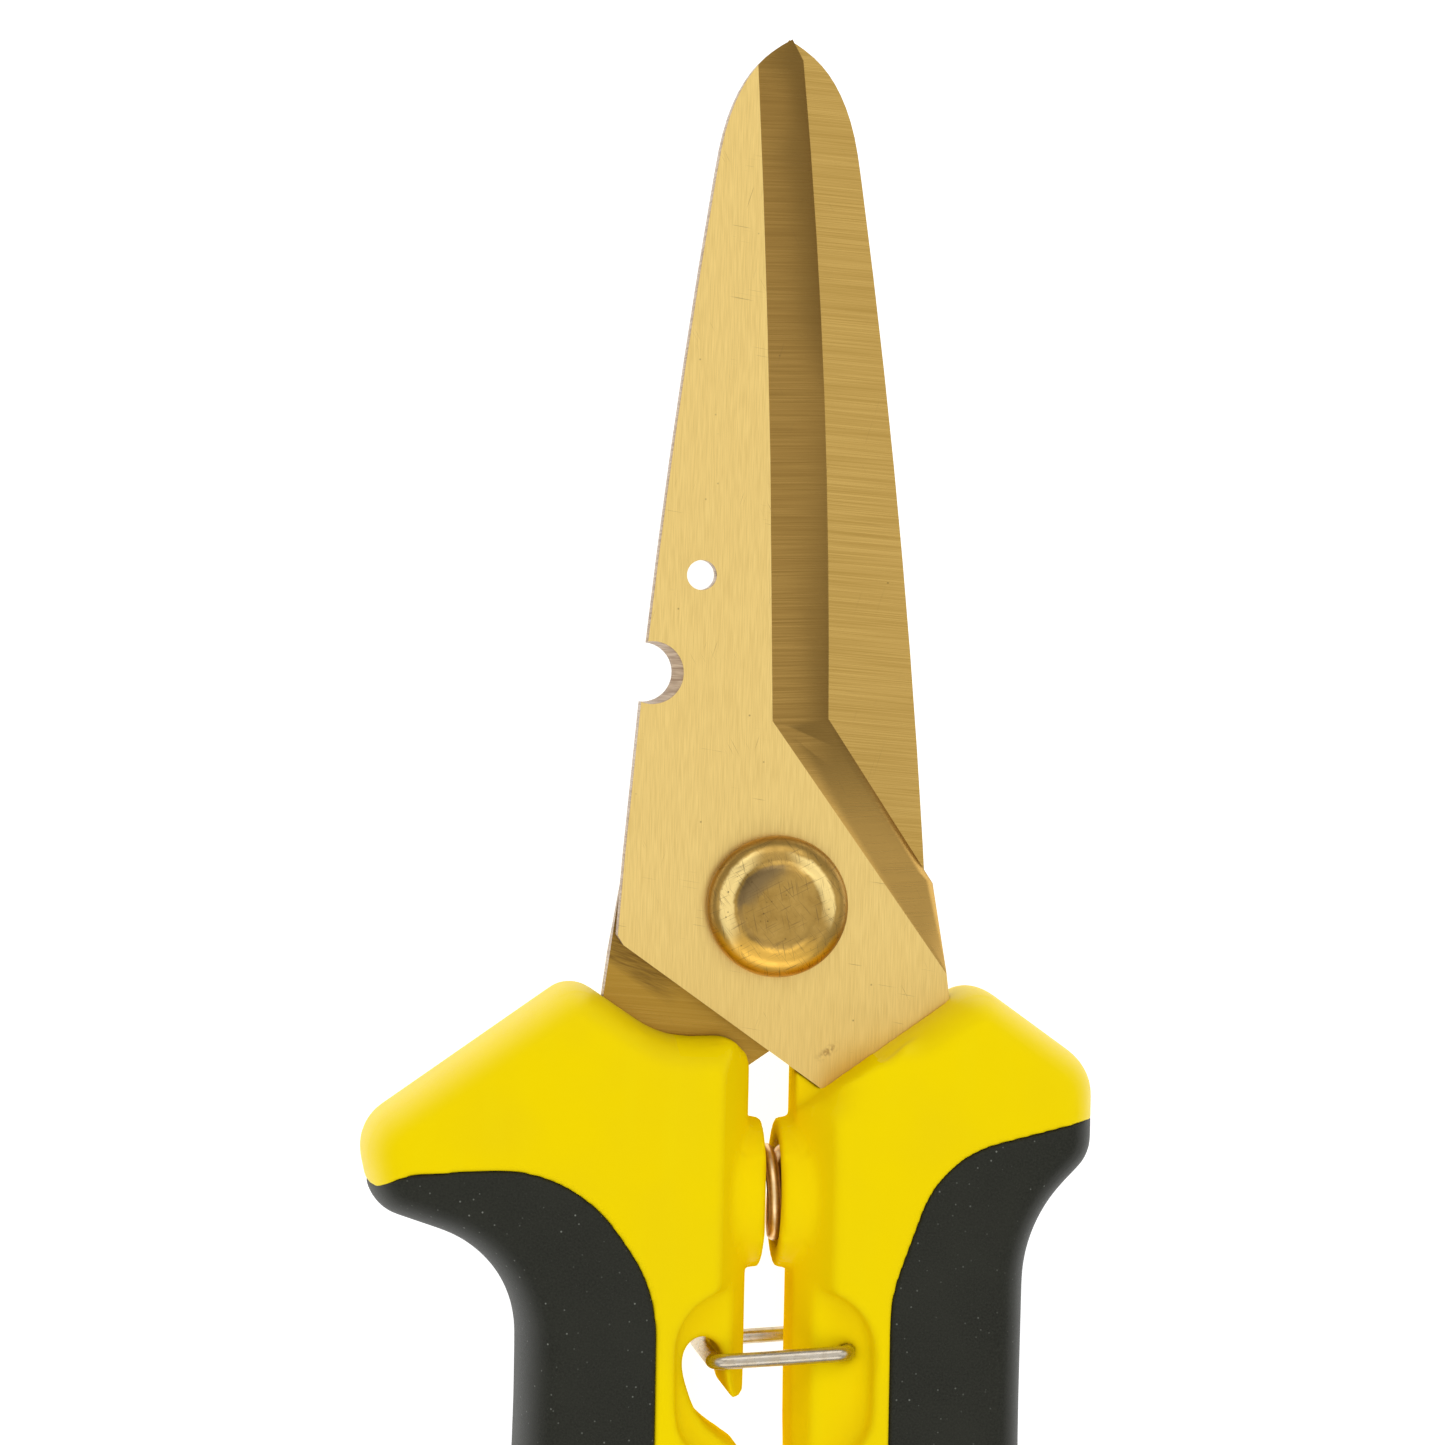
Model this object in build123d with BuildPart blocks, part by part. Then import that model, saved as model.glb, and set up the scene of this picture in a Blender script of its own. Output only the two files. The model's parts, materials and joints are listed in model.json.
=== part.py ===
"""Spring-loaded hand snips: two pivoted blades, two overmoulded handles and a wire latch.

The tool lies flat.  +Y runs towards the blade tips, +X across to the right handle and
+Z is the thickness.  The origin is the middle of the footprint on the surface it lies on.
Outlines are drawn from the pivot axis.  Each half is drawn on its own side of the
mid-plane, with x growing outwards, so the left half is the right half turned over.
"""
import os
from math import cos, radians, sin

from build123d import *

os.makedirs("parts", exist_ok=True)

# ---------------------------------------------------------------- driving dimensions, mm
TIP_REACH = 72.3            # pivot axis to the blade tips
HANDLE_REACH = 122.7        # pivot axis to the handle ends
THUMB_REACH = 34.2          # pivot axis to the left handle's thumb stop
GUARD_REACH = 26.9          # pivot axis to the right handle's guard
PIVOT_X = (THUMB_REACH - GUARD_REACH) / 2
PIVOT_Y = (HANDLE_REACH - TIP_REACH) / 2

HANDLE_THICK = 18.0
HALF = HANDLE_THICK / 2     # the blades meet in the mid-plane
EDGE_ROUND = 2.6
INNER_X = 2.0               # inner faces of the closed handles, from the centre line
SLOPE_START = 3.0           # height at which the inner faces start to slope away
SLOPE_RUN = 2.8             # how far they have sloped at the outer face
CORE_HALF = 5.0             # hard core inside the grip, from the mid-plane

BLADE_THICK = 2.35
BLADE_PLAY = 0.03           # each blade's inner face, from the mid-plane
BLADE_TOP = BLADE_PLAY + BLADE_THICK
HOLE_X, HOLE_Y, HOLE_R = -6.77, 27.45, 1.25
NOTCH_X, NOTCH_Y, NOTCH_R = -10.74, 19.25, 2.62
NOTCH_LEAN = 0.65           # how far the notch is shallower at the mating face
NOTCH_FOOT_R = 2.47

SHANK_R = 3.0
RUNNING_CLEARANCE = 0.05
HEAD_R = 5.95
HEAD_HEIGHT = 2.7
DISH_R = 3.6
DISH_DEPTH = 0.45
SPIGOT_R = 1.8
SPIGOT_REACH = 1.5          # into the cap, from its seat

SPRING_Y = -24.2            # spring axis, parallel to X
SPRING_WIRE_R = 0.6
SPRING_COIL_R = 3.5         # to the middle of the wire
SPRING_PITCH = 2.0
SPRING_HALF = 6.5           # centre line to the end of the wire's middle
POCKET_R = 4.5
POCKET_END = 7.4
BOSS_R = 6.3
BOSS_FACE = 0.65
BOSS_ROOT = 6.0

LATCH_X, LATCH_Y = 6.3, -36.85      # latch pin holes
LATCH_ARM = 11.2
LATCH_TILT = 4.2            # degrees that the arm slopes down to the crossbar
WIRE_R = 0.65
WIRE_BEND = 1.0
LATCH_FIT = 0.07
LATCH_CLEAR = 0.2
RECESS_DEPTH = 2.8
ARM_HEIGHT = HALF - 1.9     # middle of the wire's arms, from the mid-plane
PIN_DEPTH = 3.3             # pin holes, below the recess floor


def front(height):
    """Drawing plane at a height above the mid-plane, x growing to the right."""
    return Plane(origin=(PIVOT_X, PIVOT_Y, HALF + height))


def back(height):
    """The same plane for the half that is turned over, x growing to the left."""
    return Plane(origin=(PIVOT_X, PIVOT_Y, HALF - height), x_dir=(-1, 0, 0), z_dir=(0, 0, -1))


# ---------------------------------------------------------------- blades
CUT_CORNER = (4.4, 15.6)
GRIND_CORNER = (-0.6, 15.4)
BLADE_FOOT = (4.15, -15.3)
BLADE_SHOULDER = (14.8, -7.6)
REAR_HEEL_TRIM = 0.75       # the rear blade is this much narrower beside the pivot


def blade_outline(side, heel_trim):
    """Flat blade with its tang, before grinding."""
    with BuildSketch(side(BLADE_PLAY)) as outline:
        with BuildLine():
            spine = ThreePointArc((-13.2, -2.7), (-10.35, 29.5), (-6.25, 60.6))
            nose = Spline(spine @ 1, (-5.4, 65.0), (-3.1, 69.75), (0.1, TIP_REACH),
                          tangents=[spine % 1, (1.0, 0.55)])
            tip = Line(nose @ 1, (1.1, 70.6))
            edge = ThreePointArc(tip @ 1, (3.5, 42.3), CUT_CORNER)
            Polyline(edge @ 1, (13.5 - heel_trim, 2.2), (14.5 - heel_trim, -5.2),
                     (BLADE_SHOULDER[0] - heel_trim, BLADE_SHOULDER[1]), (14.8, -15.0), (13.6, -32.0), (13.8, -58.0), (9.8, -58.0),
                     (9.6, -34.0), (9.3, -19.0), BLADE_FOOT, (-12.7, -3.5), spine @ 0)
        make_face()
    return outline.sketch


def grind_section(side, height, arc_points, heel):
    """Area beyond the ground face's edge at one height, run out past the tip and heel."""
    far = 40.0
    with BuildSketch(side(height)) as section:
        with BuildLine():
            edge = ThreePointArc(*arc_points)
            Polyline(edge @ 1, heel, (far, heel[1]), (far, arc_points[0][1]), edge @ 0)
        make_face()
    return section.sketch


def blade(side, bore_r, heel_trim=0.0):
    """One blade: a plate ground to a cutting edge on its mating face, with a pivot bore."""
    past_tip = 76.0
    extrude(blade_outline(side, heel_trim), amount=BLADE_THICK)
    edge_arc = [(0.65, past_tip), (3.5, 42.3), CUT_CORNER]
    grind_arc = [(-3.35, past_tip), (-1.45, 42.3), GRIND_CORNER]
    loft([grind_section(side, BLADE_PLAY, edge_arc, (16.5, -2.5)),
          grind_section(side, BLADE_TOP, grind_arc, (17.2, -9.25))],
         ruled=True, mode=Mode.SUBTRACT)
    extrude(disc(side(0), bore_r), amount=HALF, mode=Mode.SUBTRACT)


def disc(plane, radius, centre=(0, 0)):
    """Round outline on a drawing plane."""
    with BuildSketch(plane) as outline:
        with Locations(centre):
            Circle(radius)
    return outline.sketch


with BuildPart() as front_blade:
    blade(front, SHANK_R + RUNNING_CLEARANCE)
    extrude(disc(front(0), HOLE_R, (HOLE_X, HOLE_Y)), amount=HALF, mode=Mode.SUBTRACT)
    loft([disc(front(BLADE_PLAY), NOTCH_FOOT_R, (NOTCH_X - NOTCH_LEAN, NOTCH_Y)),
          disc(front(BLADE_TOP), NOTCH_R, (NOTCH_X, NOTCH_Y))],
         ruled=True, mode=Mode.SUBTRACT)

with BuildPart() as rear_blade:
    blade(back, SHANK_R, REAR_HEEL_TRIM)

# ---------------------------------------------------------------- pivot rivet
def rivet_head(seat, up):
    """Domed, dished head turned about the pivot axis; up is +1 for the front, -1 for the rear."""
    top = seat + HEAD_HEIGHT
    dish = top - DISH_DEPTH
    section = Plane(origin=(PIVOT_X, PIVOT_Y, HALF), x_dir=(1, 0, 0), z_dir=(0, -up, 0))
    with BuildSketch(section) as profile:
        with BuildLine():
            base = Polyline((0, seat), (HEAD_R, seat), (HEAD_R, seat + 0.6))
            dome = Spline(base @ 1, (5.4, top - 0.7), (4.5, top), tangents=[(0, 1), (-1, 0)])
            lip = Spline(dome @ 1, (DISH_R, dish), tangents=[(-1, 0), (-1, -0.3)])
            Polyline(lip @ 1, (0, dish), base @ 0)
        make_face()
    revolve(profile.sketch, axis=Axis((PIVOT_X, PIVOT_Y, 0), (0, 0, 1)))


CAP_SEAT = BLADE_TOP + RUNNING_CLEARANCE

with BuildPart() as pivot_post:
    rivet_head(BLADE_TOP, -1)
    extrude(disc(front(-BLADE_TOP), SHANK_R), amount=BLADE_TOP + CAP_SEAT)
    extrude(disc(front(0), SPIGOT_R), amount=CAP_SEAT + SPIGOT_REACH)

with BuildPart() as pivot_cap:
    rivet_head(CAP_SEAT, 1)
    extrude(disc(front(0), SPIGOT_R), amount=CAP_SEAT + SPIGOT_REACH, mode=Mode.SUBTRACT)

# ---------------------------------------------------------------- handles and grips
def rounded(plane, corners):
    """Closed outline of straight runs; each corner is (x, y, radius)."""
    with BuildSketch(plane) as outline:
        with BuildLine():
            FilletPolyline(*[corner[:2] for corner in corners],
                           radius=[corner[2] for corner in corners], close=True)
        make_face()
    return outline.sketch


BLADE_ROOT = [(INNER_X, -11.0, 2.6), (9.2, -11.2, 8.0)]
SWEEP_R = 200.0             # long curves of the handle outline
LOWER_HANDLE = [(22.9, -78.0, SWEEP_R), (20.9, -105.0, SWEEP_R), (18.2, -HANDLE_REACH, 4.9),
                (8.8, -HANDLE_REACH, 4.9), (6.2, -92.0, SWEEP_R), (INNER_X, -47.0, SWEEP_R)]
RIGHT_OUTLINE = BLADE_ROOT + [
    (17.0, -6.15, 2.8), (GUARD_REACH, -13.1, 4.3),
    (GUARD_REACH, -20.4, 4.0), (21.4, -26.3, 12.0), (21.3, -46.0, SWEEP_R),
] + LOWER_HANDLE
LEFT_OUTLINE = BLADE_ROOT + [
    (16.8, -6.2, 2.8), (THUMB_REACH + 0.47, -19.0, 4.2),
    (33.2, -25.45, 3.6), (20.95, -29.5, 9.8), (20.75, -46.0, SWEEP_R),
] + LOWER_HANDLE

GRIP_FOOT = [(13.6, -130.0, 0.0), (45.0, -130.0, 0.0)]
RIGHT_GRIP_AREA = [(45.0, -17.2, 0.0), (25.6, -17.2, 0.0), (13.6, -20.4, 9.0), (9.5, -32.0, 14.0),
                   (9.7, -66.0, SWEEP_R)] + GRIP_FOOT
LEFT_GRIP_AREA = [(45.0, -25.6, 0.0), (33.6, -23.6, 0.0), (30.6, -22.2, 6.0), (17.2, -21.4, 12.0),
                  (10.0, -31.5, 12.0), (9.8, -66.0, SWEEP_R)] + GRIP_FOOT
CORE_OUTLINE = [(7.6, -18.0, 1.0), (18.4, -14.5, 1.0), (18.8, -25.0, 3.0), (17.0, -33.0, 8.0),
                (17.8, -84.0, 20.0), (14.6, -112.0, 1.5), (11.0, -112.0, 1.5), (7.6, -60.0, 20.0)]
RECESS_OUTLINE = [(-1.0, -31.6, 0.0), (8.3, -31.6, 5.0), (8.1, -43.4, 4.0), (3.6, -48.2, 3.0),
                  (-1.0, -48.2, 0.0)]


def envelope(plane, corners):
    """Whole handle, core and grip together, with rounded rims."""
    extrude(rounded(plane, corners), amount=HANDLE_THICK)
    fillet(faces().filter_by(Axis.Z).edges(), radius=EDGE_ROUND)


def inner_slope(x_way):
    """Section of what is cut away so that the inner faces slope back to both outer faces."""
    over = 1.0
    run = SLOPE_RUN / (HALF - SLOPE_START)
    low = (INNER_X - over, SLOPE_START - over / run)
    high = (INNER_X + SLOPE_RUN + over * run, HALF + over)
    section = Plane(origin=(PIVOT_X, PIVOT_Y, HALF), x_dir=(x_way, 0, 0), z_dir=(0, 1, 0))
    with BuildSketch(section) as outline:
        with BuildLine():
            Polyline(low, high, (low[0], high[1]), close=True)
        make_face()
        mirror(about=Plane.XZ)
    return outline.sketch


def blade_relief(plane):
    """Area above a handle's own blade, open down to the straight edge of the moulding."""
    return rounded(plane, [(15.4, -3.0, 0.0), (*BLADE_SHOULDER, 0.0), (*BLADE_FOOT, 1.0),
                           (1.6, -17.2, 0.0), (-1.0, -17.2, 0.0), (-1.0, -3.0, 0.0)])


def handle_core(side, corners, grip_area, own_blade):
    """Hard moulding of one handle, open for its blade, the spring and the latch wire."""
    x_way = side(0).x_dir.X
    boss_plane = Plane(origin=(PIVOT_X + x_way * BOSS_FACE, PIVOT_Y + SPRING_Y, HALF),
                       z_dir=(x_way, 0, 0))
    envelope(side(-HALF), corners)
    extrude(rounded(side(-HALF), grip_area), amount=HANDLE_THICK, mode=Mode.SUBTRACT)
    extrude(rounded(side(-CORE_HALF), CORE_OUTLINE), amount=2 * CORE_HALF)
    extrude(inner_slope(x_way), amount=-HANDLE_REACH, mode=Mode.SUBTRACT)
    extrude(disc(boss_plane, BOSS_R), amount=BOSS_ROOT - BOSS_FACE)
    extrude(disc(boss_plane, POCKET_R), amount=POCKET_END - BOSS_FACE, mode=Mode.SUBTRACT)
    extrude(blade_relief(side(BLADE_TOP)), amount=HALF, mode=Mode.SUBTRACT)
    add(own_blade, mode=Mode.SUBTRACT)
    for face_height in (HALF, RECESS_DEPTH - HALF):
        extrude(rounded(side(face_height), RECESS_OUTLINE), amount=-RECESS_DEPTH,
                mode=Mode.SUBTRACT)


def grip(side, corners, grip_area):
    """Soft outer part of one handle, wrapped round the hard core."""
    envelope(side(-HALF), corners)
    extrude(rounded(side(-HALF), grip_area), amount=HANDLE_THICK, mode=Mode.INTERSECT)
    extrude(rounded(side(-CORE_HALF), CORE_OUTLINE), amount=2 * CORE_HALF, mode=Mode.SUBTRACT)


with BuildPart() as right_grip:
    grip(front, RIGHT_OUTLINE, RIGHT_GRIP_AREA)

with BuildPart() as left_grip:
    grip(back, LEFT_OUTLINE, LEFT_GRIP_AREA)

RECESS_FLOOR = HALF - RECESS_DEPTH

with BuildPart() as right_handle:
    handle_core(front, RIGHT_OUTLINE, RIGHT_GRIP_AREA, front_blade.part)
    for hole_foot in (RECESS_FLOOR - PIN_DEPTH, -RECESS_FLOOR):
        pin_hole = disc(front(hole_foot), WIRE_R + LATCH_FIT, (LATCH_X, LATCH_Y))
        extrude(pin_hole, amount=PIN_DEPTH, mode=Mode.SUBTRACT)


def latch_slot():
    """Slot that the crossbar swings through, behind the hook that holds it."""
    hook_r = LATCH_ARM - WIRE_R - LATCH_CLEAR

    def hook_point(angle):
        return (hook_r * cos(radians(angle)) - LATCH_X, LATCH_Y - hook_r * sin(radians(angle)))

    with BuildSketch(back(-HALF)) as outline:
        with BuildLine():
            hook = ThreePointArc(hook_point(LATCH_TILT), hook_point(12), hook_point(20))
            tip = ThreePointArc(hook @ 1, (2.8, -41.0), (INNER_X, -40.4))
            mouth = Polyline(tip @ 1, (0, -40.4), (0, -46.2))
            Spline(mouth @ 1, (2.9, -44.9), (5.9, -42.4), (7.1, -39.6), (7.15, -36.7), (5.6, -35.7),
                   (4.3, -36.6), hook @ 0, tangents=[(1, 0.4), (0, -1)])
        make_face()
    return outline.sketch


with BuildPart() as left_handle:
    handle_core(back, LEFT_OUTLINE, LEFT_GRIP_AREA, rear_blade.part)
    extrude(latch_slot(), amount=HANDLE_THICK, mode=Mode.SUBTRACT)

# ---------------------------------------------------------------- spring and latch wire
with BuildPart() as return_spring:
    with BuildLine():
        coil = Helix(SPRING_PITCH, 2 * SPRING_HALF, SPRING_COIL_R,
                     center=(PIVOT_X - SPRING_HALF, PIVOT_Y + SPRING_Y, HALF), direction=(1, 0, 0))
    with BuildSketch(Plane(origin=coil @ 0, z_dir=coil % 0)):
        Circle(SPRING_WIRE_R)
    sweep(path=coil, is_frenet=True)

with BuildPart() as latch_wire:
    hinge = (PIVOT_X + LATCH_X, PIVOT_Y + LATCH_Y)
    bar = (hinge[0] - LATCH_ARM * cos(radians(LATCH_TILT)),
           hinge[1] - LATCH_ARM * sin(radians(LATCH_TILT)))
    pin_end = RECESS_FLOOR - PIN_DEPTH + LATCH_CLEAR
    with BuildLine():
        wire = FilletPolyline((*hinge, HALF + pin_end), (*hinge, HALF + ARM_HEIGHT),
                              (*bar, HALF + ARM_HEIGHT), (*bar, HALF - ARM_HEIGHT),
                              (*hinge, HALF - ARM_HEIGHT), (*hinge, HALF - pin_end),
                              radius=WIRE_BEND)
    with BuildSketch(Plane(origin=wire @ 0, z_dir=wire % 0)):
        Circle(WIRE_R)
    sweep(path=wire)

# ---------------------------------------------------------------- export
NODES = {
    "front_blade": front_blade,
    "rear_blade": rear_blade,
    "pivot_post": pivot_post,
    "pivot_cap": pivot_cap,
    "right_handle": right_handle,
    "left_handle": left_handle,
    "right_grip": right_grip,
    "left_grip": left_grip,
    "return_spring": return_spring,
    "latch_wire": latch_wire,
}
for name, node in NODES.items():
    node.part.label = name
    export_step(node.part, f"parts/{name}.step")
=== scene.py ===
import json
from math import cos, pi, radians, sin, tan

import bmesh
import bpy
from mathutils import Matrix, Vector
from mathutils.bvhtree import BVHTree


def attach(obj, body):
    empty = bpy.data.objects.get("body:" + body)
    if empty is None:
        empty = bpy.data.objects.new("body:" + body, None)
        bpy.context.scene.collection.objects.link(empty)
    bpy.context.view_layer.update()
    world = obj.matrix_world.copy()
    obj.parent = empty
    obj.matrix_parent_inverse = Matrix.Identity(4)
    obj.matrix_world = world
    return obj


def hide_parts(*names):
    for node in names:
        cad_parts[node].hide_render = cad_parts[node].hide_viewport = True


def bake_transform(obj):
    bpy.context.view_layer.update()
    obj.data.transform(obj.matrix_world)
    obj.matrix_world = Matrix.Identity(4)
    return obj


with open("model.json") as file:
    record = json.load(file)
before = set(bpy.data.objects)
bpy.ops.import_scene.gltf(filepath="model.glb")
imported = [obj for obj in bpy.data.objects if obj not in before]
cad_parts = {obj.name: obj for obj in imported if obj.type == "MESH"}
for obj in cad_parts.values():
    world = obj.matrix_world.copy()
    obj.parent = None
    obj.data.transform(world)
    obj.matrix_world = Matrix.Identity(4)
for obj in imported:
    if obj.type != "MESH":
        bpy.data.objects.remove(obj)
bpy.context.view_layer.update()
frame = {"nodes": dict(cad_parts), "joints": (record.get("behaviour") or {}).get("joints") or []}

MM = 0.001
scene = bpy.context.scene
JOINTS = {joint["name"]: joint for joint in frame["joints"]}
PIVOT = Vector(JOINTS["pivot"]["pos_m"])


def at(x, y, z=0.0):
    """Point given in millimetres from the pivot axis, with z from the mid-plane."""
    return PIVOT + Vector((x, y, z)) * MM


# ---------------------------------------------------------------- camera
VIEW_TILT_X, VIEW_TILT_Y, VIEW_ROLL = radians(6.3), radians(1.5), radians(1.19)
VIEW_DISTANCE = 0.480       # m
VIEW_CENTRE = at(-4.8, 15.2, 2.4)
LENS, SENSOR_WIDTH = 143.5, 36.0
CLIP_START = 0.01           # m


def add_camera():
    """Camera that looks almost straight down, at the photograph's tilt and roll."""
    away = Vector((-tan(VIEW_TILT_X), tan(VIEW_TILT_Y), 1.0)).normalized()
    up = Vector((0, 1, 0))
    up = (up - away * up.dot(away)).normalized()
    right = up.cross(away)
    up, right = (up * cos(VIEW_ROLL) - right * sin(VIEW_ROLL),
                 right * cos(VIEW_ROLL) + up * sin(VIEW_ROLL))
    data = bpy.data.cameras.new("camera")
    data.lens = LENS
    data.sensor_width = SENSOR_WIDTH
    data.clip_start = CLIP_START
    camera = bpy.data.objects.new("camera", data)
    scene.collection.objects.link(camera)
    facing = camera.matrix_world.to_3x3()
    for row in range(3):
        facing[row] = (right[row], up[row], away[row])
    camera.matrix_world = facing.to_4x4()
    camera.location = VIEW_CENTRE + away * VIEW_DISTANCE
    scene.camera = camera


add_camera()

# ---------------------------------------------------------------- light
WHITE = (1.0, 1.0, 1.0, 1.0)
WORLD_STRENGTH = 0.47
scene.view_settings.view_transform = "Standard"
scene.view_settings.look = "None"

world = bpy.data.worlds.new("studio")
world.use_nodes = True
background = world.node_tree.nodes["Background"]
background.inputs["Color"].default_value = WHITE
background.inputs["Strength"].default_value = WORLD_STRENGTH
scene.world = world


def softbox(name, place, width, length, radiance):
    """Rectangular lamp that faces the pivot; sizes in metres, radiance is its brightness."""
    data = bpy.data.lights.new(name, "AREA")
    data.shape = "RECTANGLE"
    data.size, data.size_y = width, length
    data.energy = radiance * pi * width * length
    lamp = bpy.data.objects.new(name, data)
    scene.collection.objects.link(lamp)
    lamp.location = place
    lamp.rotation_euler = (PIVOT - place).to_track_quat("-Z", "Y").to_euler()


softbox("overhead", at(40, -20, 800), width=1.1, length=0.5, radiance=0.5)
softbox("left", at(-560, 80, 620), width=0.5, length=0.7, radiance=0.6)
softbox("right", at(600, 60, 560), width=0.5, length=0.7, radiance=0.6)
softbox("far", at(0, 600, 620), width=0.9, length=0.4, radiance=1.2)
softbox("near", at(-50, -600, 620), width=0.9, length=0.4, radiance=1.2)


# ---------------------------------------------------------------- node materials
class Shader:
    """A Principled material and short calls that add procedural detail to it."""

    def __init__(self, name, colour, roughness, metallic=0.0, **plain):
        self.material = bpy.data.materials.new(name)
        self.material.use_nodes = True
        self.tree = self.material.node_tree
        self.surface = self.tree.nodes["Principled BSDF"]
        self.set("Base Color", (*colour, 1.0))
        self.set("Roughness", roughness)
        self.set("Metallic", metallic)
        for socket, value in plain.items():
            self.set(socket.replace("_", " "), value)
        self.coords = self.tree.nodes.new("ShaderNodeTexCoord").outputs["Object"]

    def set(self, socket, value):
        self.surface.inputs[socket].default_value = value

    def plug(self, node, values):
        """Set or link a node's inputs; a value is a number, a tuple or another node's output."""
        for key, value in values.items():
            if isinstance(value, bpy.types.NodeSocket):
                self.tree.links.new(value, node.inputs[key])
            else:
                node.inputs[key].default_value = value

    def drive(self, socket, source):
        self.tree.links.new(source, self.surface.inputs[socket])

    def stretched(self, size, turn=(0, 0, 0)):
        """Coordinates in units of a feature size in mm along each axis, turned first."""
        mapping = self.tree.nodes.new("ShaderNodeMapping")
        mapping.vector_type = "TEXTURE"
        self.plug(mapping, {"Vector": self.coords, "Rotation": turn,
                            "Scale": [s * MM for s in size]})
        return mapping.outputs["Vector"]

    def noise(self, size, turn=(0, 0, 0), detail=2.0, rough=0.5):
        """Cloudy noise; size is one feature size in mm or one for each axis."""
        node = self.tree.nodes.new("ShaderNodeTexNoise")
        if isinstance(size, (int, float)):
            size = (size, size, size)
        self.plug(node, {"Vector": self.stretched(size, turn), "Scale": 1.0, "Detail": detail,
                         "Roughness": rough})
        return node.outputs["Fac"]

    def cells(self, size, turn=(0, 0, 0)):
        """Distance from the nearest of scattered points, size mm apart."""
        node = self.tree.nodes.new("ShaderNodeTexVoronoi")
        self.plug(node, {"Vector": self.stretched((size,) * 3, turn), "Scale": 1.0})
        return node.outputs["Distance"]

    def span(self, source, low, high, to_low=0.0, to_high=1.0, smooth=False):
        """Map low..high of the source to to_low..to_high, and hold it there beyond."""
        node = self.tree.nodes.new("ShaderNodeMapRange")
        node.interpolation_type = "SMOOTHSTEP" if smooth else "LINEAR"
        self.plug(node, {"Value": source, "From Min": low, "From Max": high,
                         "To Min": to_low, "To Max": to_high})
        return node.outputs["Result"]

    def sums(self, operation, a, b):
        """One arithmetic step."""
        node = self.tree.nodes.new("ShaderNodeMath")
        node.operation = operation
        self.plug(node, {0: a, 1: b})
        return node.outputs["Value"]

    def mix(self, amount, a, b):
        """Colour a to colour b; colours are linear triples or sockets."""
        node = self.tree.nodes.new("ShaderNodeMix")
        node.data_type = "RGBA"
        a = a if isinstance(a, bpy.types.NodeSocket) else (*a, 1.0)
        b = b if isinstance(b, bpy.types.NodeSocket) else (*b, 1.0)
        self.plug(node, {0: amount, 6: a, 7: b})
        return node.outputs[2]

    def bump(self, height, depth, strength=1.0, under=None):
        """Bump from a height of 0 to 1 that stands for a depth in mm."""
        node = self.tree.nodes.new("ShaderNodeBump")
        self.plug(node, {"Height": height, "Distance": depth * MM, "Strength": strength})
        if under is not None:
            self.tree.links.new(under, node.inputs["Normal"])
        return node.outputs["Normal"]

    def place(self, axis):
        """Coordinate along one axis, in metres."""
        node = self.tree.nodes.new("ShaderNodeSeparateXYZ")
        self.tree.links.new(self.coords, node.inputs[0])
        return node.outputs[axis]

    def across(self, x, y, turn):
        """Metres along and aside in plan from a point in mm, with the axes turned in degrees."""
        mapping = self.tree.nodes.new("ShaderNodeMapping")
        mapping.vector_type = "TEXTURE"
        self.plug(mapping, {"Vector": self.coords, "Location": at(x, y),
                            "Rotation": (0, 0, radians(turn))})
        node = self.tree.nodes.new("ShaderNodeSeparateXYZ")
        self.tree.links.new(mapping.outputs["Vector"], node.inputs[0])
        return node.outputs["X"], node.outputs["Y"]

    def radius(self):
        """Distance from the pivot axis, in metres."""
        shift = self.tree.nodes.new("ShaderNodeVectorMath")
        shift.operation = "SUBTRACT"
        self.plug(shift, {0: self.coords, 1: PIVOT})
        flatten = self.tree.nodes.new("ShaderNodeVectorMath")
        flatten.operation = "MULTIPLY"
        self.plug(flatten, {0: shift.outputs["Vector"], 1: (1.0, 1.0, 0.0)})
        length = self.tree.nodes.new("ShaderNodeVectorMath")
        length.operation = "LENGTH"
        self.plug(length, {0: flatten.outputs["Vector"]})
        return length.outputs["Value"]

    def flow(self, x, y):
        """Direction of the brushing in the piece's own frame, for anisotropic gloss."""
        node = self.tree.nodes.new("ShaderNodeVectorTransform")
        node.vector_type, node.convert_from, node.convert_to = "VECTOR", "OBJECT", "WORLD"
        node.inputs["Vector"].default_value = (x, y, 0.0)
        self.drive("Tangent", node.outputs["Vector"])


SCRATCH = (0.16, 0.10, 0.04)


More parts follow.
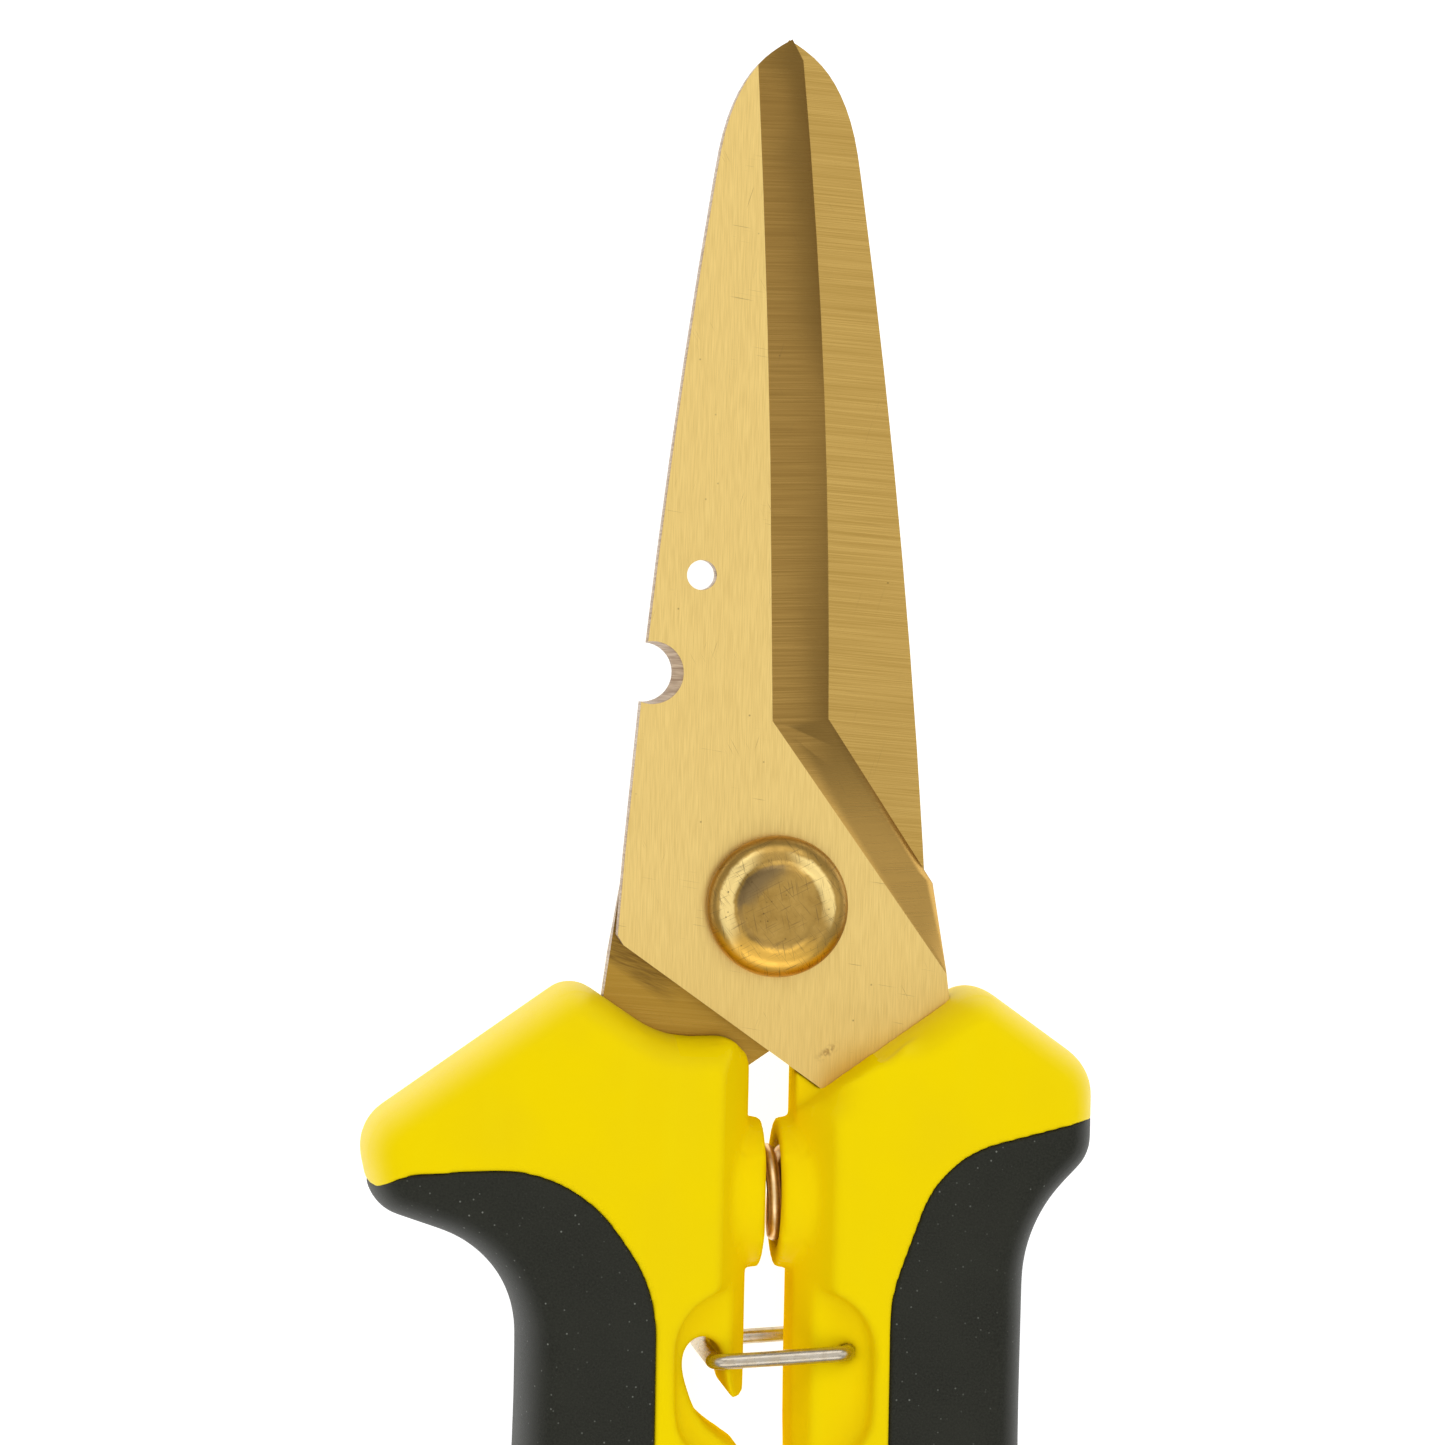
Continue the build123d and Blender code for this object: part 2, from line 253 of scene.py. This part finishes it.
def brushed_gold(name, colour, deep, along_y, tilt=0.0, roughness=0.34, fine=0.12, long=3.0,
                 dim=None, scored=0.5):
    """Gold hard coating over a ground or brushed face; dim(shader, base) may recolour parts: a
    stain on the flat, painted light and shade on the bevel and the inner face.
    """
    size = (fine, long, long) if along_y else (long, fine, long)
    turn = (0, 0, radians(tilt))
    gold = Shader(name, colour, roughness, 1.0, Anisotropic=0.45)
    gold.flow(*((0.0, 1.0) if along_y else (1.0, 0.0)))
    lines = gold.noise(size, turn, detail=1.0, rough=0.5)
    bands = gold.noise([s * 1.9 for s in size], turn, detail=1.0)
    cloud = gold.noise(9.0, detail=3.0)
    grain = gold.sums("ADD", gold.span(lines, 0.3, 0.7, 0.0, 0.75),
                      gold.span(bands, 0.3, 0.7, 0.0, 0.25))
    base = gold.mix(gold.span(grain, 0.15, 0.85), deep, colour)
    base = gold.mix(gold.span(cloud, 0.35, 0.7, 0.0, 0.16), base, deep)
    if dim:
        base = dim(gold, base)
    pits = gold.span(gold.cells(2.2), 0.0, 0.05, 1.0, 0.0)
    base = gold.mix(gold.sums("MULTIPLY", pits, 0.75), base, (0.10, 0.06, 0.02))
    for angle, length in ((28.0, 4.0), (-17.0, 6.0), (81.0, 5.0)):
        scratch = gold.noise((0.07, length, length), (0, 0, radians(angle)), detail=0.0)
        where = gold.noise(3.5, (0.3, angle, 0.0), detail=1.0)
        amount = gold.sums("MULTIPLY", gold.span(scratch, 0.77, 0.83),
                           gold.span(where, 0.60, 0.66))
        base = gold.mix(gold.sums("MULTIPLY", amount, scored), base, SCRATCH)
    gold.drive("Base Color", base)
    gold.drive("Roughness", gold.span(grain, 0.0, 1.0, roughness + 0.07, roughness - 0.05))
    gold.drive("Normal", gold.bump(grain, 0.002, 0.6))
    return gold.material


def bevel_painted_light(gold, base):
    """Painted light and shade along the bevel: lighter beside the pivot, and darker towards the
    tip.
    """
    # painted light: the bevel lighter beside the pivot
    heel = gold.span(gold.place("Y"), PIVOT.y + 15 * MM, PIVOT.y + 4 * MM, 0.0, 0.85,
                     smooth=True)
    base = gold.mix(heel, base, (0.72, 0.44, 0.115))
    # painted shade: the bevel darker towards the tip
    tip = gold.span(gold.place("Y"), PIVOT.y + 25 * MM, PIVOT.y + 70 * MM, 0.0, 0.45)
    return gold.mix(tip, base, (0.26, 0.145, 0.032))


BLOT = (4.6, -12.2, 38.0)           # x and y in mm from the pivot, turn in degrees
# the painted shadow of the other blade falls beside this edge
FOOT_EDGE = (-12.8, -3.1, -35.1)    # where the other blade's foot ends, in the same terms


def flat_tone(gold, base):
    """A small stain near the foot, and a little deeper colour towards it."""
    base = gold.mix(gold.span(gold.place("Y"), PIVOT.y, PIVOT.y - 14 * MM, 0.0, 0.35), base,
                    (0.72, 0.475, 0.13))
    along, aside = gold.across(*BLOT)
    long_way = gold.span(gold.sums("ABSOLUTE", along, 0.0), 1.3 * MM, 0.2 * MM)
    short_way = gold.span(gold.sums("ABSOLUTE", aside, 0.0), 0.5 * MM, 0.1 * MM)
    blot = gold.sums("MULTIPLY", long_way, short_way)
    ragged = gold.span(gold.noise(0.35, detail=2.0), 0.42, 0.62, 0.0, 0.8)
    blot = gold.sums("MULTIPLY", blot, ragged)
    return gold.mix(blot, base, (0.38, 0.22, 0.07))


def inner_painted_shade(gold, base):
    """Painted shade and a painted reflection of the handles, deeper and more orange near them,
    and the painted shadow of the other blade beside its foot, streaked across.
    """
    # painted shade and painted reflection of the yellow handles: deeper, more orange colour
    # below the pivot
    low = gold.span(gold.place("Y"), PIVOT.y + 8 * MM, PIVOT.y - 6 * MM)
    base = gold.mix(gold.sums("MULTIPLY", low, 0.75), base, (0.42, 0.23, 0.025))
    # painted shadow of the other blade, cast beside the edge of its foot and streaked across
    along, aside = gold.across(*FOOT_EDGE)
    blade_shadow = gold.sums("MULTIPLY", gold.span(aside, -2.3 * MM, -1.7 * MM),
                      gold.span(along, 7.2 * MM, 4.2 * MM))
    blade_shadow = gold.sums("MULTIPLY", blade_shadow, gold.span(gold.place("Y"), PIVOT.y + 2 * MM, PIVOT.y))
    streak = gold.span(gold.noise((2.0, 0.15, 1.0), (0, 0, radians(-20)), detail=2.0),
                       0.35, 0.6, 0.3, 0.75)
    return gold.mix(gold.sums("MULTIPLY", blade_shadow, streak), base, (0.17, 0.09, 0.02))


GOLD_FLAT = brushed_gold("gold_flat", (0.89, 0.645, 0.225), (0.77, 0.55, 0.185), True,
                         fine=0.07, long=2.2, dim=flat_tone)
GOLD_BEVEL = brushed_gold("gold_bevel", (0.39, 0.235, 0.062), (0.30, 0.175, 0.042), False,
                          tilt=2.0, roughness=0.30, fine=0.075, long=9.0, dim=bevel_painted_light,
                          scored=0.25)
GOLD_INNER = brushed_gold("gold_inner", (0.62, 0.405, 0.115), (0.48, 0.30, 0.072), False,
                          tilt=-4.0, roughness=0.30, fine=0.07, long=11.0, dim=inner_painted_shade,
                          scored=0.25)
GOLD_WALL = brushed_gold("gold_wall", (0.48, 0.36, 0.24), (0.30, 0.20, 0.12), False,
                         roughness=0.42)


def brass_with_painted_light():
    """Tumbled, mottled plating with a tarnished dish, painted highlights as bright arcs on the
    ring, painted light on the lower side and painted shade on the skirt.
    """
    brass = Shader("rivet_brass", (0.6, 0.43, 0.17), 0.38, 1.0)
    patches = brass.noise(1.3, detail=5.0, rough=0.62)
    blots = brass.noise(2.2, turn=(0.4, 0.2, 0.9), detail=3.0)
    wobble = brass.sums("ADD", brass.radius(),
                        brass.span(patches, 0.3, 0.7, -0.14 * MM, 0.14 * MM))
    fade = 0.3      # width of a ring's soft edge, mm

    def arc(inner, outer, turn, near, far):
        """Part of a ring on one side of the axis; it comes in from near to far, in mm."""
        starts = brass.span(wobble, (inner - fade) * MM, inner * MM, smooth=True)
        ends = brass.span(wobble, (outer + fade) * MM, outer * MM, smooth=True)
        ring = brass.sums("MULTIPLY", starts, ends)
        reach = brass.across(0, 0, turn)[0]
        return brass.sums("MULTIPLY", ring, brass.span(reach, near * MM, far * MM, smooth=True))

    base = brass.mix(brass.span(patches, 0.3, 0.7), (0.38, 0.225, 0.052), (0.50, 0.31, 0.08))
    # painted light: the lower side of the head lighter and more orange
    base = brass.mix(arc(3.7, 9.0, -95, 1.5, 4.5), base, (0.82, 0.48, 0.085))
    # painted shade: the outer skirt of the head darker all round
    base = brass.mix(brass.span(brass.radius(), 5.2 * MM, 5.95 * MM, 0.0, 0.7), base,
                     (0.40, 0.21, 0.04))
    # painted highlights: two bright arcs on the ring
    for inner, outer, turn, near, far in ((4.0, 4.9, 165, 2.2, 4.0), (3.7, 4.5, 30, 2.4, 4.0)):
        base = brass.mix(arc(inner, outer, turn, near, far), base, (0.98, 0.74, 0.29))
    stain = brass.sums("MULTIPLY", arc(1.9, 3.4, 135, 1.0, 2.6),
                       brass.span(blots, 0.36, 0.52, 0.1, 0.75))
    base = brass.mix(stain, base, (0.19, 0.135, 0.07))
    groove = brass.sums("MULTIPLY", arc(3.2, 3.3, 178, 0.0, 2.0), 0.3)
    base = brass.mix(groove, base, SCRATCH)
    for angle in (12.0, -63.0, 40.0):
        scratch = brass.span(brass.noise((0.07, 2.4, 2.4), (0, 0, radians(angle)), detail=0.0),
                             0.70, 0.78, 0.0, 0.5)
        base = brass.mix(scratch, base, SCRATCH)
    specks = brass.span(brass.cells(0.5), 0.05, 0.2, 1.0, 0.0)
    base = brass.mix(brass.sums("MULTIPLY", specks, brass.span(patches, 0.52, 0.35)), base,
                     (0.09, 0.06, 0.025))
    brass.drive("Base Color", base)
    brass.drive("Roughness", brass.span(patches, 0.3, 0.7, 0.42, 0.26))
    brass.drive("Normal", brass.bump(patches, 0.02, 0.4))
    return brass.material


def bright_wire(name, colour, dull_spots_and_dark_reflections, stained, roughness):
    """Plated round wire with painted dark reflections streaked along it, drawing marks in its
    gloss and bump, duller spots and a little tarnish.
    """
    wire = Shader(name, colour, roughness, 1.0)
    drawn_marks_and_reflections = wire.noise((1.6, 0.2, 0.3), detail=3.0)
    spots = wire.noise(0.8, detail=4.0, rough=0.7)
    clouds = wire.noise(1.7, detail=2.0)
    # painted reflection: dark streaks along the wire
    base = wire.mix(wire.span(drawn_marks_and_reflections, 0.35, 0.65, 0.3, 0.0), colour, dull_spots_and_dark_reflections)
    base = wire.mix(wire.span(clouds, 0.48, 0.62, 0.0, 0.7), base, stained)
    wire.drive("Base Color", wire.mix(wire.span(spots, 0.5, 0.75, 0.0, 0.5), base, dull_spots_and_dark_reflections))
    wire.drive("Roughness", wire.span(drawn_marks_and_reflections, 0.3, 0.7, roughness, roughness + 0.12))
    wire.drive("Normal", wire.bump(drawn_marks_and_reflections, 0.006, 0.4))
    return wire.material


def yellow_plastic(name, gloss):
    """Satin moulded plastic; gloss is its specular level."""
    skin = Shader(name, (0.95, 0.72, 0.006), 0.42, Specular_IOR_Level=gloss)
    skin.set("Specular Tint", (1.0, 0.80, 0.04, 1.0))
    cloud = skin.noise(9.0, detail=2.0)
    fine = skin.noise(0.22, detail=3.0, rough=0.6)
    flow = skin.noise((2.0, 12.0, 2.0), detail=2.0)
    base = skin.mix(skin.span(cloud, 0.35, 0.7), (0.985, 0.745, 0.001), (0.955, 0.715, 0.003))
    base = skin.mix(skin.span(flow, 0.5, 0.8, 0.0, 0.3), base, (0.97, 0.76, 0.004))
    skin.drive("Base Color", base)
    skin.drive("Roughness", skin.span(fine, 0.3, 0.7, 0.39, 0.49))
    rough = skin.bump(fine, 0.012, 0.35)
    skin.drive("Normal", skin.bump(cloud, 0.10, 0.3, rough))
    return skin.material


def charcoal_rubber():
    """Matt rubber with a fine grain, pale specks and dust."""
    skin = Shader("charcoal_rubber", (0.014, 0.015, 0.011), 0.55, Specular_IOR_Level=0.22)
    skin.set("Specular Tint", (1.0, 1.0, 0.85, 1.0))
    grain = skin.noise(0.18, detail=4.0, rough=0.7)
    cloud = skin.noise(5.0, detail=3.0)
    specks = skin.span(skin.cells(0.85), 0.0, 0.12, 1.0, 0.0)
    swarm = skin.span(skin.noise(6.0, (0.2, 0.7, 0.1), detail=1.0), 0.42, 0.6, 0.25, 1.0)
    dust = skin.span(skin.cells(0.42, (0.5, 0.3, 0.2)), 0.0, 0.11, 1.0, 0.0)
    base = skin.mix(skin.span(grain, 0.3, 0.7), (0.006, 0.0065, 0.0045), (0.027, 0.028, 0.0215))
    base = skin.mix(skin.span(cloud, 0.4, 0.7, 0.0, 0.35), base, (0.026, 0.027, 0.020))
    base = skin.mix(skin.sums("MULTIPLY", specks, swarm), base, (0.30, 0.31, 0.27))
    base = skin.mix(skin.sums("MULTIPLY", dust, 0.3), base, (0.12, 0.12, 0.11))
    skin.drive("Base Color", base)
    skin.drive("Roughness", skin.span(grain, 0.3, 0.7, 0.50, 0.66))
    skin.drive("Normal", skin.bump(grain, 0.03, 0.5))
    skin.set("Sheen Weight", 0.05)
    skin.set("Sheen Roughness", 0.5)
    return skin.material


BRASS = brass_with_painted_light()
SPRING_METAL = bright_wire("spring_bronze", (1.0, 0.76, 0.42), (0.75, 0.50, 0.22),
                           (0.9, 0.60, 0.26), roughness=0.30)
NICKEL = bright_wire("latch_nickel", (0.60, 0.54, 0.45), (0.24, 0.19, 0.13),
                     (0.50, 0.42, 0.30), roughness=0.2)
YELLOW = yellow_plastic("yellow_plastic", gloss=0.2)
YELLOW_WALL = yellow_plastic("yellow_inner_wall", gloss=0.0)
RUBBER = charcoal_rubber()


# ---------------------------------------------------------------- mesh helpers
SEAM = 0.0005               # vertices of a CAD mesh this close are one, mm


def link(mesh, name):
    piece = bpy.data.objects.new(name, mesh)
    scene.collection.objects.link(piece)
    return piece


def copy_of(node, name):
    """A free copy of a CAD node's mesh, with its seam vertices joined."""
    mesh = bpy.data.meshes.new(name)
    bm = bmesh.new()
    bm.from_mesh(frame["nodes"][node].data)
    bmesh.ops.remove_doubles(bm, verts=bm.verts, dist=SEAM * MM)
    bm.to_mesh(mesh)
    bm.free()
    mesh.materials.clear()
    return link(mesh, name)


def settle(piece):
    """Turn a piece's modifiers into its mesh."""
    graph = bpy.context.evaluated_depsgraph_get()
    mesh = bpy.data.meshes.new_from_object(piece.evaluated_get(graph))
    piece.modifiers.clear()
    piece.data = mesh


# ---------------------------------------------------------------- handles and grips
HALF_THICK = 9.0            # of the handles, mm
SECTION_WIDTH = 3.5         # how far the rounding reaches in from an outer wall, mm
SECTION_POWER = 2.5         # 2 presses the section to an ellipse, more keeps it squarer
WALL_TEST = 4.5             # height above the mid-plane at which a wall is tested, mm
WALL_LEAN = 0.05            # a wall's normal leans up or down by no more than this
WALL_QUAD = 0.1             # half the height of the quads that stand for the walls, m
RAY_GAP, RAY_REACH = 0.05, 200.0    # a ray starts this far off its wall and ends there, mm
FACING_GAP = 12.0           # walls that face each other across less than this are inside, mm
JOINT_GAP = 0.15            # a wall this close to the other node belongs to their joint, mm
WALL_NEAR = 0.35            # this close to a wall the wall's own direction is used, mm


def tree_of(nodes):
    """The CAD meshes of some nodes as one tree for ray and distance tests."""
    points, faces = [], []
    for name in nodes:
        first = len(points)
        mesh = frame["nodes"][name].data
        points += [v.co.copy() for v in mesh.vertices]
        faces += [[first + v for v in face.vertices] for face in mesh.polygons]
    return BVHTree.FromPolygons(points, faces)


SOLIDS = tree_of(frame["nodes"])


def outer_walls(nodes, side):
    """Tall quads standing on the outer walls of a handle, and which way each one looks."""
    height = PIVOT.z + side * WALL_TEST * MM
    points, quads, ways = [], [], []
    for node in nodes:
        others = tree_of([other for other in nodes if other != node])
        mesh = frame["nodes"][node].data
        for face in mesh.polygons:
            corners = [mesh.vertices[v].co for v in face.vertices]
            low, high = min(c.z for c in corners), max(c.z for c in corners)
            if abs(face.normal.z) > WALL_LEAN or not low < height < high:
                continue
            outward = Vector((face.normal.x, face.normal.y, 0)).normalized()
            centre = sum(corners, Vector()) / len(corners)
            start = Vector((centre.x, centre.y, height)) + outward * RAY_GAP * MM
            hit, normal, _, reach = SOLIDS.ray_cast(start, outward, RAY_REACH * MM)
            if hit is not None and (normal.dot(outward) > 0 or reach < FACING_GAP * MM):
                continue
            if others.find_nearest(centre, JOINT_GAP * MM)[0] is not None:
                continue
            flat = sorted(((c.x, c.y) for c in corners),
                          key=lambda p: -outward.y * p[0] + outward.x * p[1])
            first = len(points)
            for x, y in (flat[0], flat[-1]):
                points += [(x, y, -WALL_QUAD), (x, y, WALL_QUAD)]
            quads.append((first, first + 1, first + 3, first + 2))
            ways.append(outward)
    return BVHTree.FromPolygons(points, quads), ways


def round_section(mesh, nodes):
    """Press the square section of a handle into a softer, fuller round all along its outside."""
    for side in (1, -1):
        walls, ways = outer_walls(nodes, side)
        for vertex in mesh.vertices:
            rise = (vertex.co.z - PIVOT.z) * side / MM
            if rise < 0:
                continue
            plan = Vector((vertex.co.x, vertex.co.y, 0))
            near, _, index, reach = walls.find_nearest(plan, SECTION_WIDTH * MM)
            if near is None:
                continue
            inside = (near - plan).dot(ways[index])
            way = ways[index] if reach < WALL_NEAR * MM else (near - plan).normalized()
            if inside < 0:
                reach, way = 0.0, ways[index]
            out, up = 1.0 - reach / MM / SECTION_WIDTH, rise / HALF_THICK
            size = (out ** SECTION_POWER + up ** SECTION_POWER) ** (1.0 / SECTION_POWER)
            if size > 1.0:
                vertex.co -= way * (out * (1.0 - 1.0 / size) * SECTION_WIDTH * MM)
                vertex.co.z = PIVOT.z + side * up / size * HALF_THICK * MM


OUTER_FACE = 5.2            # the outer faces are softened beyond this height, mm
JOINT_CLEAR = 1.0           # and only where the other node is further away than this, mm


def outer_face_group(piece, away_from):
    """Vertices near the two outer faces, but clear of the joint with another node."""
    group = piece.vertex_groups.new(name="outer")
    joint = tree_of([away_from])
    picked = [v.index for v in piece.data.vertices
              if abs(v.co.z - PIVOT.z) > OUTER_FACE * MM
              and joint.find_nearest(v.co, JOINT_CLEAR * MM)[0] is None]
    group.add(picked, 1.0, "ADD")
    return group.name


INNER_REACH = 8.4           # the latch slot and recess end this far from the centre line, mm
INNER_LEAN = 0.5            # a face whose normal rises less than this is an inner wall there
VOXEL = 0.32                # mm
SMOOTH_FACTOR = 0.5
SMOOTH_PASSES = 5
SOFT_PASSES = 30


def moulded(node, name, body, materials, pair, soft=0):
    """Moulded part: the CAD solid with softly rounded edges.

    The pair is the part's whole handle, and soft is a number of further smoothing passes over
    its outer faces. A second material goes on the inner walls.
    """
    piece = copy_of(node, name)
    remesh = piece.modifiers.new("remesh", "REMESH")
    remesh.mode = "VOXEL"
    remesh.voxel_size = VOXEL * MM
    settle(piece)
    round_section(piece.data, pair)
    smooth = piece.modifiers.new("smooth", "SMOOTH")
    smooth.factor = SMOOTH_FACTOR
    smooth.iterations = SMOOTH_PASSES
    if soft:
        softer = piece.modifiers.new("softer", "SMOOTH")
        softer.factor = SMOOTH_FACTOR
        softer.iterations = soft
        softer.vertex_group = outer_face_group(piece, pair[1])
    settle(piece)
    piece.data.shade_smooth()
    for material in materials:
        piece.data.materials.append(material)
    if len(materials) > 1:
        for face in piece.data.polygons:
            inner = abs(face.center.x - PIVOT.x) < INNER_REACH * MM
            if inner and abs(face.normal.z) < INNER_LEAN:
                face.material_index = 1
    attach(piece, body)
    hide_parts(node)


YELLOWS = [YELLOW, YELLOW_WALL]
RIGHT_PAIR, LEFT_PAIR = ("right_handle", "right_grip"), ("left_handle", "left_grip")
moulded("right_handle", "right_handle_moulding", "front_half", YELLOWS,
        RIGHT_PAIR, SOFT_PASSES)
moulded("left_handle", "left_handle_moulding", "rear_half", YELLOWS,
        LEFT_PAIR, SOFT_PASSES)
moulded("right_grip", "right_grip_rubber", "front_half", [RUBBER], RIGHT_PAIR)
moulded("left_grip", "left_grip_rubber", "rear_half", [RUBBER], LEFT_PAIR)


# ---------------------------------------------------------------- blades
FLAT, BEVELLED = 0.99, 0.5  # least rise of the normal of a flat face and of a ground one
END_FACING = -0.9           # a face that looks back more than this is a wall, not ground
COPLANAR = radians(0.6)     # faces this nearly in one plane are joined
EDGE_BREAK = 0.09           # mm
EDGE_ANGLE = radians(20)    # edges sharper than this are broken


def blade(node, name, body, outside):
    """Blade with tiny broken edges; outside is +1 where its plain face looks up."""
    piece = copy_of(node, name)
    mesh = piece.data
    for material in (GOLD_FLAT, GOLD_BEVEL, GOLD_INNER, GOLD_WALL):
        mesh.materials.append(material)
    bm = bmesh.new()
    bm.from_mesh(mesh)
    for face in bm.faces:
        rise = face.normal.z * outside
        if rise > FLAT:
            face.material_index = 0
        elif rise > BEVELLED and face.normal.y > END_FACING:
            face.material_index = 1
        elif rise < -FLAT:
            face.material_index = 2
        else:
            face.material_index = 3
    bmesh.ops.dissolve_limit(bm, angle_limit=COPLANAR, verts=bm.verts, edges=bm.edges,
                             delimit={"MATERIAL"})
    bm.to_mesh(mesh)
    bm.free()
    bevel = piece.modifiers.new("bevel", "BEVEL")
    bevel.width = EDGE_BREAK * MM
    bevel.segments = 2
    bevel.limit_method = "ANGLE"
    bevel.angle_limit = EDGE_ANGLE
    bevel.harden_normals = True
    settle(piece)
    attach(piece, body)
    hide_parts(node)


blade("front_blade", "front_blade_ground", "front_half", 1)
blade("rear_blade", "rear_blade_ground", "rear_half", -1)

# ---------------------------------------------------------------- rivet, latch wire, spring
AROUND = 96                 # steps round a turned part
HEAD_PROFILE = [(5.6, 0.0), (5.84, 0.3), (5.94, 0.9), (5.93, 1.4), (5.75, 1.85), (5.4, 2.25),
                (4.95, 2.53), (4.45, 2.68), (4.05, 2.7), (3.72, 2.6), (3.4, 2.43), (3.0, 2.32),
                (1.6, 2.25)]


def turned(profile, name, body, node, side):
    """Solid of revolution about the pivot axis; the profile is (radius, height) in mm."""
    mesh = bpy.data.meshes.new(name)
    bm = bmesh.new()
    angles = [2 * pi * i / AROUND for i in range(AROUND)]
    rings = [[bm.verts.new(at(r * cos(angle), r * sin(angle), side * h)) for angle in angles]
             for r, h in profile]
    for inner, outer in zip(rings, rings[1:]):
        for i in range(AROUND):
            j = (i + 1) % AROUND
            bm.faces.new((inner[i], inner[j], outer[j], outer[i]))
    for ring, height in ((rings[0], profile[0][1]), (rings[-1], profile[-1][1])):
        hub = bm.verts.new(at(0, 0, side * height))
        for i in range(AROUND):
            bm.faces.new((ring[i], ring[(i + 1) % AROUND], hub))
    bmesh.ops.recalc_face_normals(bm, faces=bm.faces)
    bm.to_mesh(mesh)
    bm.free()
    piece = link(mesh, name)
    rounder = piece.modifiers.new("rounder", "SUBSURF")
    rounder.levels = rounder.render_levels = 1
    settle(piece)
    piece.data.shade_smooth()
    piece.data.materials.append(BRASS)
    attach(piece, body)
    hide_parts(node)


BLADE_TOP, CAP_SEAT = 2.38, 2.43    # where the post's and the cap's head start, mm
SHANK_R, SHANK_END, RIM_STEP = 3.0, 2.41, 0.05
SHANK_PROFILE = [(SHANK_R, -SHANK_END), (SHANK_R, -BLADE_TOP), (SHANK_R, BLADE_TOP - RIM_STEP),
                 (SHANK_R, BLADE_TOP)]
turned([(r, CAP_SEAT + h) for r, h in HEAD_PROFILE], "rivet_cap", "rear_half", "pivot_cap", 1)
turned(SHANK_PROFILE + [(r, BLADE_TOP + h) for r, h in HEAD_PROFILE], "rivet_post",
       "rear_half", "pivot_post", -1)
frame["nodes"]["latch_wire"].data.materials.clear()
frame["nodes"]["latch_wire"].data.materials.append(NICKEL)


SPRING_FRONT = 0.25         # where a turn crosses the front, mm to the right of the middle
END_PITCH = 0.18            # how much closer the turns lie at the ends


def return_spring():
    """Round-wire compression spring between the two bosses, with its axis along X."""
    turns, reach, coil_r, wire_r = 8.0, 6.5, 3.5, 0.6
    per_turn = 48
    steps = int(turns * per_turn)
    curve = bpy.data.curves.new("return_spring_coil", "CURVE")
    curve.dimensions = "3D"
    line = curve.splines.new("POLY")
    line.points.add(steps)
    for i, point in enumerate(line.points):
        t = 2.0 * i / steps - 1.0
        x = reach * (t - END_PITCH * sin(pi * t) / pi * abs(t) ** 3)
        angle = pi * turns * (t - SPRING_FRONT / reach) + pi / 2
        point.co = (*at(x, -24.2 + coil_r * cos(angle), coil_r * sin(angle)), 1.0)
    curve.bevel_depth = wire_r * MM
    curve.bevel_resolution = 6
    curve.use_fill_caps = True
    source = bpy.data.objects.new("coil", curve)
    scene.collection.objects.link(source)
    graph = bpy.context.evaluated_depsgraph_get()
    mesh = bpy.data.meshes.new_from_object(source.evaluated_get(graph))
    bpy.data.objects.remove(source)
    piece = link(mesh, "return_spring_coil")
    mesh.shade_smooth()
    mesh.materials.clear()
    mesh.materials.append(SPRING_METAL)
    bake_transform(piece)
    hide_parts("return_spring")


return_spring()


# ---------------------------------------------------------------- floor
FLOOR_HALF = 3.0            # m
FLOOR_DROP = 0.02           # below the tool, mm


def add_floor():
    """Pale, faintly mottled paper that is bright enough to stay white."""
    paper = Shader("floor_paper", (0.4, 0.4, 0.4), 0.9)
    tone = paper.noise(60.0, detail=2.0)
    paper.drive("Base Color", paper.mix(paper.span(tone, 0.3, 0.7), (0.38, 0.38, 0.38),
                                        (0.42, 0.42, 0.42)))
    paper.set("Emission Color", WHITE)
    paper.set("Emission Strength", 0.95)
    bm = bmesh.new()
    bmesh.ops.create_grid(bm, x_segments=8, y_segments=8, size=FLOOR_HALF)
    mesh = bpy.data.meshes.new("floor")
    bm.to_mesh(mesh)
    bm.free()
    mesh.materials.append(paper.material)
    floor = link(mesh, "floor")
    floor.location = (0, 0, -FLOOR_DROP * MM)


add_floor()
